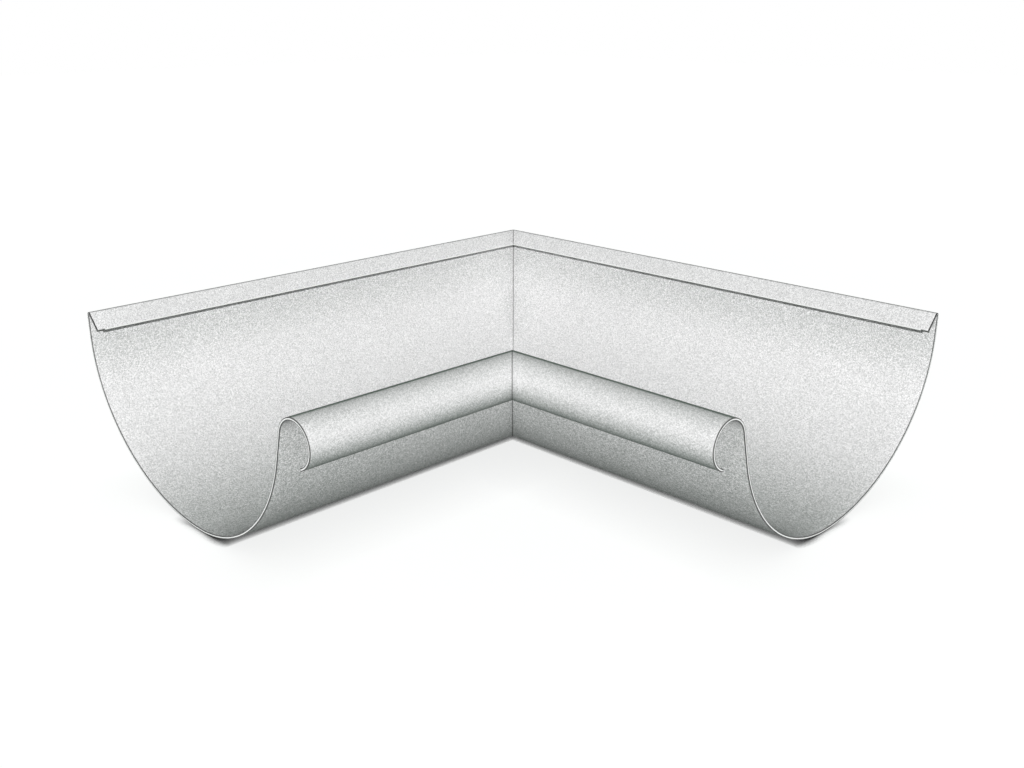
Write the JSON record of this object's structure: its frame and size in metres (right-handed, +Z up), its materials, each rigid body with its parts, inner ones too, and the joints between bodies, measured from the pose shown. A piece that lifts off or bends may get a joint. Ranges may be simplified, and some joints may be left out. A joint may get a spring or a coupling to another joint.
{
  "type": "internal gutter angle",
  "caption": "Internal right-angle corner for a half-round roof gutter, formed from sheet steel, with a rolled bead on its front edge and a folded back edge.",
  "frame": {"origin": "under the middle of the square that the two legs span, level with the lowest line of the trough", "axes": "+Z up; one leg runs along +X to its open end and the other along -Y; the folded back faces +Y and -X, on the outside of the angle"},
  "size_m": [0.2566, 0.2566, 0.0749],
  "materials": {
    "galvanised_steel": "satin hot-dip zinc with a fine grain"
  },
  "bodies": {
    "root": {"gutter_angle": "galvanised_steel"}
  },
  "joints": []
}
